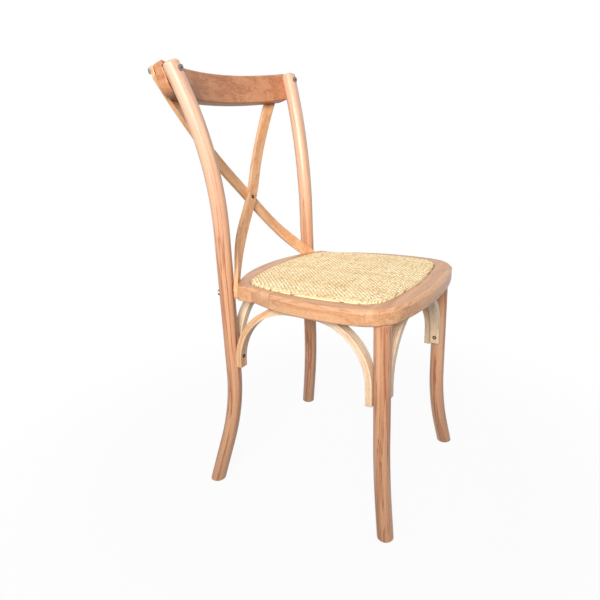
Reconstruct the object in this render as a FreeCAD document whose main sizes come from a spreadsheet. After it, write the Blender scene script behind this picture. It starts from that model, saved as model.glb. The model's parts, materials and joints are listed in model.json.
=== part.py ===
import FreeCAD, Part
import math
import os
import Sketcher

# A cross back dining chair of bent wood with a woven seat, in millimetres.
# The seated person looks along -Y, +Z is up, and the floor is z = 0 under the middle of the chair.

Vector = FreeCAD.Vector
doc = FreeCAD.newDocument("cross_back_chair")
sheet = doc.addObject("Spreadsheet::Sheet", "dims")

dimensions = {
    # rear legs, which run on up as the posts of the back
    "legDiameter": 32.0,
    "postHalfSpacing": 162.0,
    "legJoinHeight": 400.0,
    "rearFootStraight": 100.0,
    "rearFootRadius": 527.0,
    "rearFootAngle": 17.8,
    "rearFootAzimuth": 45.0,
    "postBendHeight": 565.0,
    "postBendRadius": 760.0,
    "postAngle": 20.8,
    "postAzimuth": 58.5,
    "postEndRise": 64.5,
    "postEndBevel": 4.0,
    "footBevel": 2.0,
    "floorCut": 200.0,
    # front legs
    "frontLegHalfSpacing": 164.0,
    "frontLegAdvance": 214.0,
    "frontFootStraight": 50.0,
    "frontFootRadius": 610.0,
    "frontFootAngle": 14.0,
    "frontFootAzimuth": -39.0,
    "tenonDiameter": 20.0,
    "tenonLength": 20.0,
    "tenonClearance": 0.2,
    # seat frame
    "seatHeight": 460.0,
    "seatThickness": 30.0,
    "seatFront": 259.5,
    "seatFrontRadius": 633.0,
    "seatHalfWidth": 207.0,
    "seatWidestSetback": -105.0,
    "seatSideRadius": 400.0,
    "seatCornerRadius": 75.0,
    "seatRear": 150.0,
    "seatRearRadius": 299.5,
    "bevelStart": 10.0,
    "earHalfWidth": 170.0,
    "earStart": 64.0,
    "seatEdgeBevel": 5.0,
    "seatUnderBevel": 2.5,
    "frontJointSetback": -195.0,
    "rearJointSetback": 8.0,
    "jointGap": 0.2,
    "ledgeWidth": 12.0,
    "ledgeThickness": 12.0,
    # woven panel and the board under it
    "panelFront": 220.5,
    "panelFrontRadius": 700.0,
    "panelHalfWidth": 175.0,
    "panelWidestSetback": -88.0,
    "panelSideRadius": 500.0,
    "panelRear": 113.0,
    "panelRearRadius": 431.0,
    "panelFrontCorner": 50.0,
    "panelRearCorner": 30.0,
    "panelGap": 1.0,
    "panelCrown": 8.5,
    "panelEdgeBevel": 6.0,
    "boardThickness": 10.0,
    "boardGap": 0.5,
    # crest rail
    "crestHalfLength": 207.0,
    "crestHeight": 62.0,
    "crestThickness": 22.0,
    "crestRadius": 560.0,
    "crestLean": 16.0,
    "crestNotch": 1.5,
    "crestFloorHeight": 814.5,
    "crestTopCorner": 10.0,
    "crestLowerCorner": 24.0,
    "crestEdgeBevel": 2.5,
    # cross strips; rises are over the underside of the seat or the bottom of the crest
    "stripWidth": 25.0,
    "stripThickness": 8.0,
    "stripFootRise": 15.0,
    "stripFootReach": 157.0,
    "stripFootEndRise": 2.0,
    "stripFootRound": 3.0,
    "crossingHeight": 614.7,
    "crossingSetback": 180.0,
    "crossingGap": 1.1,
    "stripTopRise": 51.5,
    "stripTopReach": 200.0,
    "stripTopEndRise": 61.5,
    "stripTopRound": 8.0,
    "stripOverrun": 20.0,
    "twistMargin": 50.0,
    # braces, by their height, the radius of their outer side and their straight end under the seat
    "braceWidth": 20.0,
    "braceThickness": 13.0,
    "braceSeatTail": 12.0,
    "sideFrontDrop": 164.0,
    "sideFrontRadius": 123.0,
    "sideRearDrop": 151.0,
    "sideRearRadius": 144.0,
    "frontDrop": 152.0,
    "frontRadius": 132.0,
    "rearDrop": 132.0,
    "rearRadius": 126.0,
    # fasteners and loose tenons
    "seatingGap": 0.45,
    "holeClearance": 0.15,
    "boltDiameter": 6.0,
    "boltHeadDiameter": 12.0,
    "boltHeadHeight": 3.5,
    "boltSocketWidth": 4.0,
    "boltSocketDepth": 2.1,
    "counterboreReach": 10.5,
    "capSink": 1.2,
    "crestBoltRise": 52.5,
    "crestBoltAzimuth": 8.0,
    "capNutHeight": 5.0,
    "capNutBore": 3.6,
    "seatBoltRise": 11.0,
    "squareNutWidth": 12.0,
    "squareNutThickness": 6.0,
    "squareNutInset": 14.0,
    "looseTenonThickness": 8.0,
    "looseTenonHeight": 18.0,
    "looseTenonLength": 28.0,
    "looseTenonInset": 14.0,
}

for row, (name, value) in enumerate(dimensions.items(), 1):
    sheet.set("A%d" % row, name)
    sheet.set("B%d" % row, str(value))
    sheet.setAlias("B%d" % row, name)
doc.recompute()


def size(name):
    return float(sheet.get(name))


seatUnderside = size("seatHeight") - size("seatThickness")
seatBoltHeight = seatUnderside + size("seatBoltRise")
crestBoltHeight = size("crestFloorHeight") + size("crestBoltRise")
stripTopHeight = size("crestFloorHeight") + size("stripTopRise")
stripTopEnd = size("crestFloorHeight") + size("stripTopEndRise")
legRadius = size("legDiameter") / 2
# the strips' feet are held between the bowed back of the seat frame and the posts
rearCentre = size("seatRear") - size("seatRearRadius")
stripSeat = size("seatRearRadius") + size("seatingGap") + size("stripThickness") / 2
postReach = stripSeat + size("stripThickness") / 2 + size("seatingGap") + legRadius
postSetback = rearCentre + math.sqrt(postReach ** 2 - size("postHalfSpacing") ** 2)
postSetbackRule = ("dims.seatRear - dims.seatRearRadius + sqrt((dims.seatRearRadius + dims.stripThickness"
                   " + 2 * dims.seatingGap + dims.legDiameter / 2) ^ 2 - dims.postHalfSpacing ^ 2)")


def bindAll(thing, expressions):
    for path, expression in expressions.items():
        thing.setExpression(path, expression)


def newBody(name):
    return doc.addObject("PartDesign::Body", name)


def newSketch(body, name, role, lift=None):
    sketch = body.newObject("Sketcher::SketchObject", name)
    plane = [item for item in body.Origin.OriginFeatures if item.Role == role][0]
    sketch.AttachmentSupport = [(plane, "")]
    sketch.MapMode = "FlatFace"
    if lift:
        sketch.setExpression("AttachmentOffset.Base.z", lift)
    return sketch


def addPad(body, name, sketch, length, midplane=False):
    pad = body.newObject("PartDesign::Pad", name)
    pad.Profile = sketch
    pad.setExpression("Length", length)
    pad.Midplane = midplane
    doc.recompute()
    return pad


def addPocket(body, name, sketch, length=None, reverse=False):
    pocket = body.newObject("PartDesign::Pocket", name)
    pocket.Profile = sketch
    pocket.Reversed = reverse
    if length:
        pocket.setExpression("Length", length)
    else:
        pocket.Type = "ThroughAll"
        pocket.Midplane = True
    doc.recompute()
    return pocket


def addFillet(body, name, base, radius, wanted):
    edges = ["Edge%d" % (i + 1) for i, edge in enumerate(base.Shape.Edges) if wanted(edge)]
    fillet = body.newObject("PartDesign::Fillet", name)
    fillet.Base = (base, edges)
    fillet.setExpression("Radius", radius)
    doc.recompute()
    return fillet


def addBevel(body, name, base, width, wanted):
    edges = ["Edge%d" % (i + 1) for i, edge in enumerate(base.Shape.Edges) if wanted(edge)]
    bevel = body.newObject("PartDesign::Chamfer", name)
    bevel.Base = (base, edges)
    bevel.setExpression("Size", width)
    doc.recompute()
    return bevel


def near(a, b):
    return abs(a - b) < 0.01


def isUpright(edge):
    first, last = edge.Vertexes[0].Point, edge.Vertexes[-1].Point
    return near(first.x, last.x) and near(first.y, last.y) and not near(first.z, last.z)


def isLevelAt(edge, height):
    box = edge.BoundBox
    return near(box.ZMin, height) and near(box.ZMax, height)


def addArc(sketch, first, middle, last):
    return sketch.addGeometry(Part.Arc(flat(first), flat(middle), flat(last)), False)


def addLine(sketch, first, last):
    return sketch.addGeometry(Part.LineSegment(flat(first), flat(last)), False)


def flat(point):
    return Vector(point[0], point[1], 0)


def nameConstraint(sketch, constraint, name, expression):
    number = sketch.addConstraint(constraint)
    sketch.renameConstraint(number, name)
    sketch.setExpression("Constraints." + name, expression)


def addCircle(sketch, centre, diameter):
    circle = sketch.addGeometry(Part.Circle(flat(centre), Vector(0, 0, 1), size(diameter) / 2), False)
    nameConstraint(sketch, Sketcher.Constraint("Diameter", circle, size(diameter)),
                   "bore%d" % circle, "dims." + diameter)
    return circle


def mirrorOf(source, label):
    copy = doc.addObject("Part::Mirroring", label)
    copy.Label = label
    copy.Source = source
    copy.Normal = Vector(1, 0, 0)
    return copy


# Legs: a round bar swept along a straight run, an arc and a sloping straight end

def addBentPath(body, name, bendHeight, bend, angle, azimuth, endHeight):
    """The path leans outwards past the bend, in an upright plane turned by azimuth from +X."""
    path = newSketch(body, name, "XZ_Plane")
    path.AttachmentOffset = FreeCAD.Placement(Vector(), FreeCAD.Rotation(Vector(0, 1, 0), 1))
    path.setExpression("AttachmentOffset.Rotation.Angle", azimuth)
    start = size("legJoinHeight")
    way = 1 if endHeight > start else -1
    tilt = math.radians(size(angle))
    radius = size(bend)
    bendEnd = Vector(radius * (1 - math.cos(tilt)), bendHeight + way * radius * math.sin(tilt), 0)
    run = abs(endHeight - bendEnd.y)
    last = bendEnd + Vector(run * math.tan(tilt), way * run, 0)
    circle = Part.Circle(Vector(radius, bendHeight, 0), Vector(0, 0, 1), radius)
    sweep = (math.pi - tilt, math.pi) if way > 0 else (math.pi, math.pi + tilt)
    shank = addLine(path, (0, start), (0, bendHeight))
    arc = path.addGeometry(Part.ArcOfCircle(circle, *sweep), False)
    end = addLine(path, bendEnd, last)
    path.addConstraint(Sketcher.Constraint("PointOnObject", shank, 1, -2))
    path.addConstraint(Sketcher.Constraint("Vertical", shank))
    path.addConstraint(Sketcher.Constraint("Tangent", shank, 2, arc, 2 if way > 0 else 1))
    path.addConstraint(Sketcher.Constraint("Tangent", arc, 1 if way > 0 else 2, end, 1))
    nameConstraint(path, Sketcher.Constraint("DistanceY", -1, 1, shank, 1, start),
                   "start", "dims.legJoinHeight")
    nameConstraint(path, Sketcher.Constraint("Radius", arc, radius), "bend", "dims." + bend)
    nameConstraint(path, Sketcher.Constraint("Angle", end, way * (math.pi / 2 - tilt)),
                   "slope", "%d * (90 - dims.%s)" % (way, angle))
    path.addConstraint(Sketcher.Constraint("DistanceY", -1, 1, shank, 2, bendHeight))
    path.addConstraint(Sketcher.Constraint("DistanceY", -1, 1, end, 2, endHeight))
    return path


def sweepLeg(body, name, ring, path):
    pipe = body.newObject("PartDesign::AdditivePipe", name)
    pipe.Profile = ring
    pipe.Spine = (path, ["Edge1", "Edge2", "Edge3"])
    doc.recompute()
    return pipe


def cutAtFloor(body, name):
    """Cuts the foot level with the floor and bevels its rim."""
    floor = newSketch(body, name + "_floor", "XY_Plane")
    addCircle(floor, (0, 0), "floorCut")
    cut = addPocket(body, name + "_cut", floor, "dims.legDiameter")
    return addBevel(body, name + "_rim", cut, "dims.footBevel", lambda edge: isLevelAt(edge, 0))


def bendHeightOver(straight, radius, angle):
    return size(straight) + size(radius) * math.sin(math.radians(size(angle)))


def makeRearLeg():
    body = newBody("rear_leg_form")
    ring = newSketch(body, "post_section", "XY_Plane", "dims.legJoinHeight")
    addCircle(ring, (0, 0), "legDiameter")
    lower = bendHeightOver("rearFootStraight", "rearFootRadius", "rearFootAngle")
    foot = addBentPath(body, "rear_foot_path", lower, "rearFootRadius", "rearFootAngle",
                       "dims.rearFootAzimuth", -legRadius)
    sweepLeg(body, "rear_foot", ring, foot)
    top = addBentPath(body, "post_path", size("postBendHeight"), "postBendRadius", "postAngle",
                      "dims.postAzimuth", size("crestFloorHeight") + size("postEndRise"))
    post = sweepLeg(body, "post", ring, top)
    highest = max(edge.BoundBox.ZMax for edge in post.Shape.Edges)
    addBevel(body, "post_end", post, "dims.postEndBevel",
             lambda edge: edge.BoundBox.ZMax > highest - 1 and edge.Closed)
    cutAtFloor(body, "rear_foot")
    bindAll(body, {"Placement.Base.x": "dims.postHalfSpacing", "Placement.Base.y": postSetbackRule})
    return body


def makeFrontLeg():
    body = newBody("front_leg_form")
    ring = newSketch(body, "leg_section", "XY_Plane", "dims.legJoinHeight")
    addCircle(ring, (0, 0), "legDiameter")
    lower = bendHeightOver("frontFootStraight", "frontFootRadius", "frontFootAngle")
    foot = addBentPath(body, "front_foot_path", lower, "frontFootRadius", "frontFootAngle",
                       "dims.frontFootAzimuth", -legRadius)
    sweepLeg(body, "front_foot", ring, foot)
    addPad(body, "leg_top", ring, "dims.seatHeight - dims.seatThickness - dims.legJoinHeight")
    tenon = newSketch(body, "tenon_section", "XY_Plane", "dims.seatHeight - dims.seatThickness")
    addCircle(tenon, (0, 0), "tenonDiameter")
    addPad(body, "tenon", tenon, "dims.tenonLength")
    cutAtFloor(body, "front_foot")
    bindAll(body, {"Placement.Base.x": "dims.frontLegHalfSpacing",
                   "Placement.Base.y": "-dims.frontLegAdvance"})
    return body


# Seat frame: one bowed ring, cut into four rails

def meetingPoint(yFirst, radiusFirst, xSecond, ySecond, radiusSecond, rear):
    """Where a bow centred on the middle line meets a side arc, for x > 0."""
    first = Part.Circle(Vector(0, yFirst, 0), Vector(0, 0, 1), radiusFirst)
    second = Part.Circle(Vector(xSecond, ySecond, 0), Vector(0, 0, 1), radiusSecond)
    points = [Vector(p.X, p.Y, 0) for p in first.intersect(second)]
    points = [p for p in points if p.x > 0]
    return max(points, key=lambda p: p.y if rear else -p.y)


def opposite(point):
    return Vector(-point[0], point[1], 0)


def makeRingSketch(body):
    sketch = newSketch(body, "seat_outline", "XY_Plane", "dims.seatHeight - dims.seatThickness")
    frontRadius, sideRadius, rearRadius = (size("seatFrontRadius"), size("seatSideRadius"),
                                           size("seatRearRadius"))
    sideCentre = size("seatHalfWidth") - sideRadius
    widest = size("seatWidestSetback")
    corner = meetingPoint(frontRadius - size("seatFront"), frontRadius,
                          sideCentre, widest, sideRadius, False)

    def onSide(y):
        return Vector(sideCentre + math.sqrt(sideRadius ** 2 - (y - widest) ** 2), y, 0)

    bevel = onSide(size("bevelStart"))
    ear = size("earHalfWidth")
    earEnd = rearCentre + math.sqrt(rearRadius ** 2 - ear ** 2)
    outline = [bevel, Vector(ear, size("earStart"), 0), Vector(ear, earEnd, 0)]
    addArc(sketch, opposite(corner), (0, -size("seatFront")), corner)
    addArc(sketch, corner, onSide(widest), bevel)
    for first, last in zip(outline, outline[1:]):
        addLine(sketch, first, last)
    addArc(sketch, outline[-1], (0, size("seatRear")), opposite(outline[-1]))
    for first, last in zip(outline[::-1], outline[::-1][1:]):
        addLine(sketch, opposite(first), opposite(last))
    addArc(sketch, opposite(bevel), opposite(onSide(widest)), opposite(corner))
    return sketch, corner


def makePanelSketch(body, name, growth, lift):
    """The rounded outline of the woven panel, grown outwards; its corners are rounded later."""
    sketch = newSketch(body, name, "XY_Plane", lift)
    front, rear = size("panelFront") + growth, size("panelRear") + growth
    frontRadius = size("panelFrontRadius") + growth
    rearRadius = size("panelRearRadius") + growth
    sideRadius = size("panelSideRadius") + growth
    sideCentre = size("panelHalfWidth") + growth - sideRadius
    widest = size("panelWidestSetback")
    frontCorner = meetingPoint(frontRadius - front, frontRadius, sideCentre, widest, sideRadius, False)
    rearCorner = meetingPoint(rear - rearRadius, rearRadius, sideCentre, widest, sideRadius, True)
    side = Vector(sideCentre + sideRadius, widest, 0)
    addArc(sketch, opposite(frontCorner), (0, -front), frontCorner)
    addArc(sketch, frontCorner, side, rearCorner)
    addArc(sketch, rearCorner, (0, rear), opposite(rearCorner))
    addArc(sketch, opposite(rearCorner), opposite(side), opposite(frontCorner))
    return sketch, frontCorner, rearCorner


def roundPanelCorners(body, name, base, growth, frontCorner, rearCorner):
    corners = (("front", frontCorner, "dims.panelFrontCorner"), ("rear", rearCorner, "dims.panelRearCorner"))
    for word, corner, radius in corners:
        def atCorner(edge):
            point = edge.Vertexes[0].Point
            return isUpright(edge) and near(abs(point.x), corner.x) and near(point.y, corner.y)
        expression = "%s + %s" % (radius, growth)
        base = addFillet(body, "%s_%s_corners" % (name, word), base, expression, atCorner)
    return base


def makeSeatRing():
    body = newBody("seat_ring_form")
    sketch, corner = makeRingSketch(body)
    slab = addPad(body, "seat_slab", sketch, "dims.seatThickness")
    slab = addFillet(body, "seat_front_corners", slab, "dims.seatCornerRadius",
                     lambda edge: isUpright(edge) and near(abs(edge.Vertexes[0].Point.x), corner.x)
                     and near(edge.Vertexes[0].Point.y, corner.y))
    rearOfSide = size("bevelStart")
    slab = addBevel(body, "seat_upper_bevel", slab, "dims.seatEdgeBevel",
                    lambda edge: isLevelAt(edge, size("seatHeight"))
                    and edge.BoundBox.YMax < rearOfSide + 1)
    slab = addBevel(body, "seat_lower_bevel", slab, "dims.seatUnderBevel",
                    lambda edge: isLevelAt(edge, seatUnderside)
                    and edge.BoundBox.YMax < rearOfSide + 1)
    gap = size("panelGap")
    recess, frontCorner, rearCorner = makePanelSketch(
        body, "panel_recess_outline", gap, "dims.seatHeight - dims.seatThickness + dims.ledgeThickness")
    cut = addPocket(body, "panel_recess", recess, "dims.seatThickness", reverse=True)
    roundPanelCorners(body, "recess", cut, "dims.panelGap", frontCorner, rearCorner)
    inset = gap - size("ledgeWidth")
    well, frontCorner, rearCorner = makePanelSketch(
        body, "well_outline", inset, "dims.seatHeight - dims.seatThickness")
    cut = addPocket(body, "well", well, "dims.seatThickness", reverse=True)
    roundPanelCorners(body, "well", cut, "dims.panelGap - dims.ledgeWidth", frontCorner, rearCorner)
    return body


def makeRegion(name, expressions):
    """A block that marks out one rail of the seat frame."""
    block = doc.addObject("Part::Box", name)
    bindAll(block, expressions)
    return block


def makeRailRegions():
    halfGap = "dims.jointGap / 2"
    whole = "2 * dims.seatFront"
    low = "dims.seatHeight - 2 * dims.seatThickness"
    tall = "3 * dims.seatThickness"
    frontJoint = "dims.frontJointSetback"
    rearJoint = "dims.rearJointSetback"
    shared = {"Height": tall, "Placement.Base.z": low}
    wide = {"Width": whole, "Length": whole, "Placement.Base.x": "-dims.seatFront"}
    front = makeRegion("front_region", dict(shared, **wide, **{
        "Placement.Base.y": "%s - %s - %s" % (frontJoint, halfGap, whole)}))
    rear = makeRegion("rear_region", dict(shared, **wide, **{
        "Placement.Base.y": "%s + %s" % (rearJoint, halfGap)}))
    side = makeRegion("side_region", dict(shared, **{
        "Length": whole,
        "Placement.Base.x": "0",
        "Width": "%s - (%s) - dims.jointGap" % (rearJoint, frontJoint),
        "Placement.Base.y": "%s + %s" % (frontJoint, halfGap)}))
    return {"seat_front_rail": front, "seat_rear_rail": rear, "seat_side_rail_left": side}


# Woven panel and the board that carries it

def makeSeatBoard():
    body = newBody("seat_board_form")
    growth = size("panelGap") - size("boardGap")
    sketch, frontCorner, rearCorner = makePanelSketch(
        body, "board_outline", growth, "dims.seatHeight - dims.seatThickness + dims.ledgeThickness")
    slab = addPad(body, "board", sketch, "dims.boardThickness")
    roundPanelCorners(body, "board", slab, "dims.panelGap - dims.boardGap", frontCorner, rearCorner)
    return body


def makeWovenPanel():
    body = newBody("woven_seat_panel")
    lift = "dims.seatHeight - dims.seatThickness + dims.ledgeThickness + dims.boardThickness"
    sketch, frontCorner, rearCorner = makePanelSketch(body, "panel_outline", 0, lift)
    slab = addPad(body, "panel_block", sketch,
                  "dims.seatThickness - dims.ledgeThickness - dims.boardThickness + dims.panelCrown")
    slab = roundPanelCorners(body, "panel", slab, "0", frontCorner, rearCorner)
    top = size("seatHeight") + size("panelCrown")
    addBevel(body, "panel_edge", slab, "dims.panelEdgeBevel", lambda edge: isLevelAt(edge, top))
    return body


# Crest rail: a bowed board that leans back behind the posts

def postCentre(height):
    """The middle of the left post at a height above its bend."""
    tilt = math.radians(size("postAngle"))
    radius = size("postBendRadius")
    rise = height - size("postBendHeight")
    straight = rise - radius * math.sin(tilt)
    if straight > 0:
        reach = radius * (1 - math.cos(tilt)) + straight * math.tan(tilt)
    else:
        reach = radius - math.sqrt(radius ** 2 - rise ** 2)
    azimuth = math.radians(size("postAzimuth"))
    return Vector(size("postHalfSpacing") + reach * math.cos(azimuth),
                  postSetback + reach * math.sin(azimuth), height)


def crestPlacement():
    """Leans the crest and lets the posts into its hollow face by the notch, at the bolts' height."""
    lean = FreeCAD.Rotation(Vector(1, 0, 0), -size("crestLean"))
    touch = lean.inverted().multVec(postCentre(crestBoltHeight))
    reach = size("crestRadius") - legRadius + size("crestNotch")
    axisY = touch.y - math.sqrt(reach ** 2 - touch.x ** 2)
    base = lean.multVec(Vector(0, axisY + size("crestRadius"), 0))
    up = lean.multVec(Vector(0, 0, 1))
    base = base + up * ((size("crestFloorHeight") - base.z) / up.z)
    return FreeCAD.Placement(base, lean)


def makeCrest():
    body = newBody("crest_form")
    sketch = newSketch(body, "crest_plan", "XY_Plane")
    hollow = size("crestRadius")
    back = hollow + size("crestThickness")
    half = size("crestHalfLength")

    def onArc(radius, x):
        return Vector(x, math.sqrt(radius ** 2 - x ** 2) - hollow, 0)

    addArc(sketch, onArc(hollow, -half), onArc(hollow, 0), onArc(hollow, half))
    addLine(sketch, onArc(hollow, half), onArc(back, half))
    addArc(sketch, onArc(back, half), onArc(back, 0), onArc(back, -half))
    addLine(sketch, onArc(back, -half), onArc(hollow, -half))
    board = addPad(body, "crest_board", sketch, "dims.crestHeight")

    def isEndEdge(edge, height):
        box = edge.BoundBox
        return isLevelAt(edge, height) and near(box.XMin, box.XMax)

    board = addFillet(body, "crest_top_corners", board, "dims.crestTopCorner",
                      lambda edge: isEndEdge(edge, size("crestHeight")))
    board = addFillet(body, "crest_lower_corners", board, "dims.crestLowerCorner",
                      lambda edge: isEndEdge(edge, 0))
    addBevel(body, "crest_soft_edges", board, "dims.crestEdgeBevel",
             lambda edge: isLevelAt(edge, 0) or isLevelAt(edge, size("crestHeight")))
    body.Placement = crestPlacement()
    return body


def postNotches():
    """The room that both posts take up in the crest, swept along the post's own path."""
    start = Vector(0, 0, size("legJoinHeight"))
    section = Part.Wire(Part.makeCircle(legRadius + size("seatingGap"), start))
    spine = Part.Wire(Part.__sortEdges__(doc.getObject("post_path").Shape.Edges))
    left = spine.makePipeShell([section], True)
    left.translate(Vector(size("postHalfSpacing"), postSetback, 0))
    return Part.makeCompound([left, left.mirror(Vector(), Vector(1, 0, 0))])


# Cross strips: bent flat bars that twist from the seat frame to the back of the crest

def stripReach(height):
    """Sideways place of a strip's middle line, an arc in front view through foot, crossing and top."""
    foot = (-size("stripFootReach"), seatUnderside + size("stripFootRise"))
    crossing = (0, size("crossingHeight"))
    top = (size("stripTopReach"), stripTopHeight)
    circle = Part.Arc(flat(foot), flat(crossing), flat(top)).toShape().Curve
    centre = circle.Center
    return centre.x - math.copysign(math.sqrt(circle.Radius ** 2 - (height - centre.y) ** 2), centre.x)


def crestBack(side, height, lift):
    """A point over the back face of the crest, lifted off it, and the way that face looks."""
    place = crestPlacement()
    lean = math.radians(size("crestLean"))
    radius = size("crestRadius") + size("crestThickness") + lift
    x = side * stripReach(height)
    y = math.sqrt(radius ** 2 - x ** 2) - size("crestRadius")
    local = Vector(x, y, (height - place.Base.z + y * math.sin(lean)) / math.cos(lean))
    facing = Vector(x, local.y + size("crestRadius"), 0) * (1 / radius)
    return place.multVec(local), place.Rotation.multVec(facing)


def seatBack(side, height):
    """The middle of a strip that lies on the back of the seat frame, and the way that face looks."""
    x = side * stripReach(height)
    facing = Vector(x, math.sqrt(stripSeat ** 2 - x ** 2), 0)
    return Vector(x, rearCentre + facing.y, height), facing.normalize()


def blend(value, start, end):
    share = min(max((value - start) / (end - start), 0), 1)
    return share * share * (3 - 2 * share)


# how far a strip has gone back, against the share of its height: up to the crossing, and on to the crest
lowerBow = ((0.3, 0.46), (0.65, 0.8), (1.0, 1.0))
upperBow = ((0.32, 0.45), (0.66, 0.8))
stripSections = 22


def makeBarSection(body, name, place):
    """The strip's section, a flat bar set square to the middle line."""
    sketch = newSketch(body, name, "XY_Plane")
    sketch.AttachmentOffset = place
    halfWidth, halfThickness = size("stripWidth") / 2, size("stripThickness") / 2
    signs = ((1, 1), (-1, 1), (-1, -1), (1, -1), (1, 1))
    corners = [(sx * halfWidth, sy * halfThickness) for sx, sy in signs]
    for first, last in zip(corners, corners[1:]):
        addLine(sketch, first, last)
    return sketch


def stripMiddle(side, layer):
    """The strip's middle line, from under its foot to over its top; layer is -1 in front, 1 behind."""
    thickness, gap, overrun = size("stripThickness"), size("seatingGap"), size("stripOverrun")
    crossingY = size("crossingSetback") + layer * (thickness + size("crossingGap")) / 2
    foot, crossing, crestStart = size("seatHeight"), size("crossingHeight"), size("crestFloorHeight")
    footY = seatBack(side, foot)[0].y
    crestY = crestBack(side, crestStart, gap + thickness / 2)[0].y
    points = [seatBack(side, foot - steps * overrun)[0] for steps in (2, 1, 0)]
    stretches = ((lowerBow, foot, crossing, footY, crossingY),
                 (upperBow, crossing, crestStart, crossingY, crestY))
    for bow, low, high, yLow, yHigh in stretches:
        for rise, back in bow:
            height = low + rise * (high - low)
            points.append(Vector(side * stripReach(height), yLow + back * (yHigh - yLow), height))
    for height in (crestStart, stripTopHeight - overrun, stripTopHeight, stripTopEnd + overrun):
        points.append(crestBack(side, height, gap + thickness / 2)[0])
    curve = Part.BSplineCurve()
    curve.interpolate(points)
    return curve


def stripFacing(side, point, along):
    """The way the strip's face looks: as the seat's back, then with the lean, then as the crest's back."""
    foot = size("seatHeight") + size("stripWidth") / 2
    top = size("crestFloorHeight") - size("stripWidth") / 2
    crossing, margin = size("crossingHeight"), size("twistMargin")
    back = seatBack(side, min(point.z, foot + margin))[1]
    leaned = Vector(0, along.z, -along.y).normalize()
    share = blend(point.z, foot, crossing - margin)
    facing = back * (1 - share) + leaned * share
    share = blend(point.z, crossing + margin, top)
    if share > 0:
        facing = leaned * (1 - share) + crestBack(side, point.z, 0)[1] * share
    facing = facing - along * facing.dot(along)
    return facing.normalize()


def makeStrip(label, side, layer):
    body = newBody(label + "_form")
    curve = stripMiddle(side, layer)
    sections = []
    for number in range(stripSections):
        at = curve.LastParameter * number / (stripSections - 1)
        point = curve.value(at)
        along = curve.tangent(at)[0]
        facing = stripFacing(side, point, along)
        turn = FreeCAD.Rotation(facing.cross(along), facing, along, "ZYX")
        name = "%s_section_%d" % (label, number + 1)
        sections.append(makeBarSection(body, name, FreeCAD.Placement(point, turn)))
    bar = body.newObject("PartDesign::AdditiveLoft", label + "_bar")
    bar.Profile = sections[0]
    bar.Sections = sections[1:]
    doc.recompute()

    def trim(name, corner, way, up, rounding):
        """Cuts away what lies beyond a rounded corner in front view."""
        sketch = newSketch(body, name, "XZ_Plane")
        far = size("seatFront")
        radius = size(rounding)
        x, z = corner
        start = Vector(x, z - up * far, 0)
        end = Vector(x - way * far, z, 0)
        middle = radius * (1 - math.sqrt(0.5))
        addLine(sketch, start, (x, z - up * radius))
        addArc(sketch, (x, z - up * radius), (x - way * middle, z - up * middle), (x - way * radius, z))
        addLine(sketch, (x - way * radius, z), end)
        addLine(sketch, end, (x - way * far, z + up * far))
        addLine(sketch, (x - way * far, z + up * far), (x + way * far, z + up * far))
        addLine(sketch, (x + way * far, z + up * far), (x + way * far, z - up * far))
        addLine(sketch, (x + way * far, z - up * far), start)
        return addPocket(body, name + "_cut", sketch)

    footEnd = seatUnderside + size("stripFootEndRise")
    trim(label + "_foot_trim", (-side * size("earHalfWidth"), footEnd), -side, -1, "stripFootRound")
    trim(label + "_top_trim", (side * size("crestHalfLength"), stripTopEnd), side, 1, "stripTopRound")
    return body


# Braces: bent bars that curve from the inside of a leg to the underside of the seat frame

def makeBrace(label, drop, radius):
    body = newBody(label + "_form")
    sketch = newSketch(body, label + "_side", "XZ_Plane")
    outer, inner = size(radius), size(radius) - size("braceThickness")
    start = legRadius + size("seatingGap")
    centre = Vector(start + outer, seatUnderside - outer, 0)
    low = seatUnderside - size(drop)
    end = centre.x + size("braceSeatTail")
    slant = math.sqrt(0.5)

    def bend(reach):
        return (Vector(centre.x - reach, centre.y, 0), centre + Vector(-reach, reach, 0) * slant,
                Vector(centre.x, centre.y + reach, 0))

    outside, inside = bend(outer), bend(inner)
    addArc(sketch, *outside)
    addLine(sketch, outside[2], (end, outside[2].y))
    addLine(sketch, (end, outside[2].y), (end, inside[2].y))
    addLine(sketch, (end, inside[2].y), inside[2])
    addArc(sketch, *inside[::-1])
    addLine(sketch, inside[0], (inside[0].x, low))
    addLine(sketch, (inside[0].x, low), (outside[0].x, low))
    addLine(sketch, (outside[0].x, low), outside[0])
    addPad(body, label + "_bar", sketch, "dims.braceWidth", midplane=True)
    return body


# Each left brace: its name, its leg, the way it turns and the first word of its sizes
braces = (
    ("side_front_brace", "frontLeg", 90, "sideFront"),
    ("side_rear_brace", "rearLeg", -90, "sideRear"),
    ("front_brace", "frontLeg", 180, "front"),
    ("rear_brace", "rearLeg", 180, "rear"),
)


def bracePlacement(leg, turn):
    if leg == "frontLeg":
        base = Vector(size("frontLegHalfSpacing"), -size("frontLegAdvance"), 0)
    else:
        base = Vector(size("postHalfSpacing"), postSetback, 0)
    return FreeCAD.Placement(base, FreeCAD.Rotation(Vector(0, 0, 1), turn))


# Fasteners, each made along +Z with the seat of its head or the face of its nut at 0

def headSolid(height, clearance=0.0):
    """A bolt's head or a cap nut under z = 0, or with a clearance the counterbore that it sits in."""
    radius = size("boltHeadDiameter") / 2 + clearance
    reach = size("counterboreReach") if clearance else size(height)
    return Part.makeCylinder(radius, reach, Vector(0, 0, -reach))


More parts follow.
